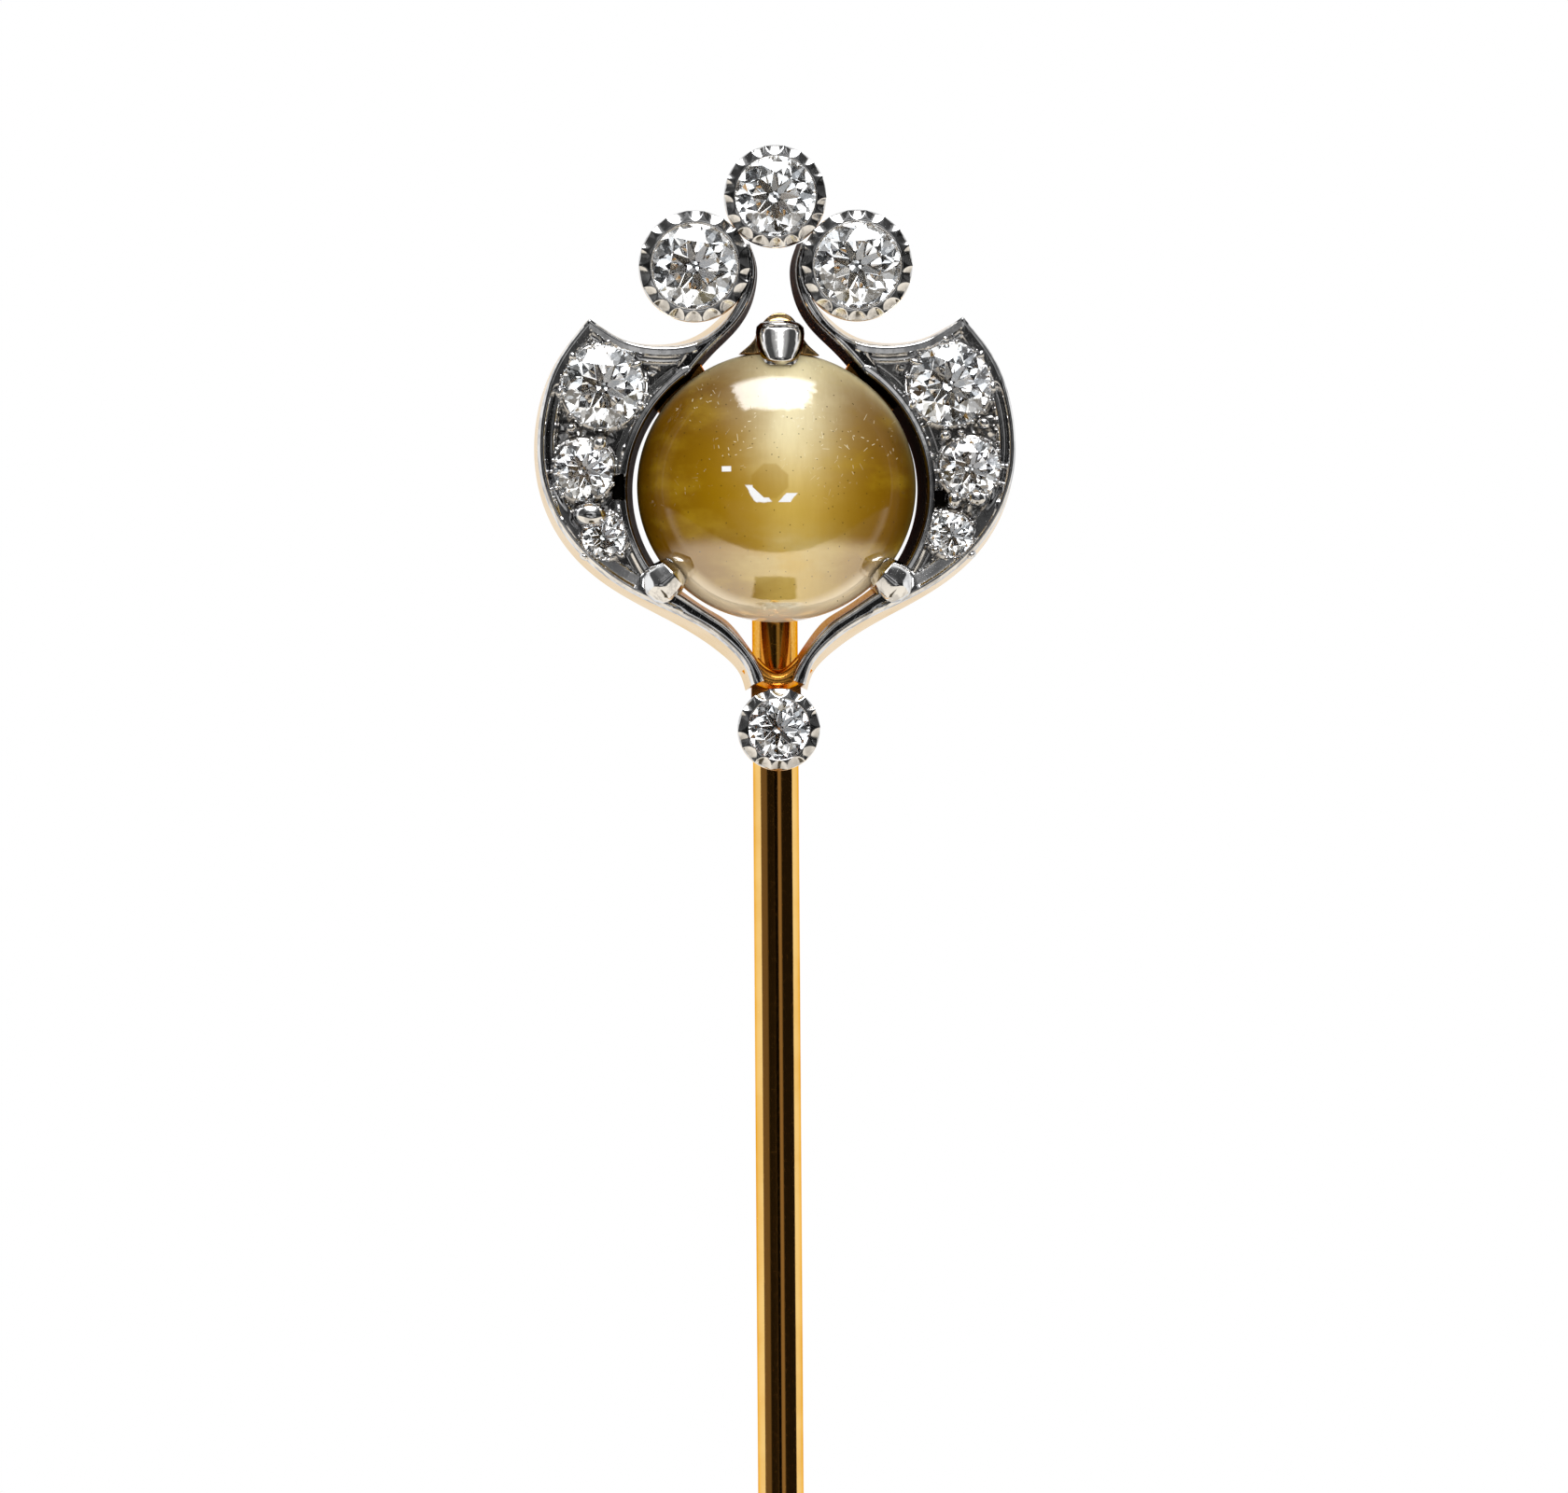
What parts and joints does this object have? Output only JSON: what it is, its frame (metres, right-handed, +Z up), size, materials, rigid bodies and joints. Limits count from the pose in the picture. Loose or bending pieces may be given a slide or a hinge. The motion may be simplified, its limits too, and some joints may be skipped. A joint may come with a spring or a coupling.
{
  "type": "hat pin",
  "caption": "Long gold pin with a platinum-fronted jewelled head, a clawed cat's-eye cabochon between diamond-set wings, and a slip-on point guard.",
  "frame": {"origin": "on the stem's axis, level with the lowest edge of the head, where the free shank starts", "axes": "+Z up the stem towards the head, +X to the head's right seen from the front, -Y out of the jewelled face"},
  "size_m": [0.012, 0.0055, 0.0613],
  "materials": {
    "gold": "polished yellow gold",
    "platinum": "polished platinum",
    "diamond": "faceted, clear",
    "cats_eye": "polished, chatoyant",
    "gilt_brass": "gilt, polished"
  },
  "bodies": {
    "pin": {"pin_stem": "gold", "bearing_ring": "gold", "stem_saddle": "gold", "tail_bridge": "gold", "gallery_web_left": "gold", "gallery_web_right": "gold", "cats_eye_cabochon": "cats_eye", "claw_post_top": "gold", "claw_tip_top": "platinum", "claw_post_lower_left": "gold", "claw_tip_lower_left": "platinum", "claw_post_lower_right": "gold", "claw_tip_lower_right": "platinum", "wing_front_left": "platinum", "wing_back_left": "gold", "wing_diamond_large_left": "diamond", "wing_diamond_medium_left": "diamond", "wing_diamond_small_left": "diamond", "wing_front_right": "platinum", "wing_back_right": "gold", "wing_diamond_large_right": "diamond", "wing_diamond_medium_right": "diamond", "wing_diamond_small_right": "diamond", "collet_rim_bottom": "platinum", "collet_cup_bottom": "gold", "diamond_bottom": "diamond", "collet_rim_top": "platinum", "collet_cup_top": "gold", "diamond_top": "diamond", "collet_rim_upper_left": "platinum", "collet_cup_upper_left": "gold", "diamond_upper_left": "diamond", "collet_rim_upper_right": "platinum", "collet_cup_upper_right": "gold", "diamond_upper_right": "diamond"},
    "guard": {"guard_barrel": "gilt_brass", "guard_collar": "gilt_brass", "guard_liner": "gilt_brass"}
  },
  "joints": [
    {"name": "guard_slide", "type": "slide", "parent": "pin", "child": "guard", "axis": [0, 0, -1], "range_m": [0, 0.012]}
  ]
}
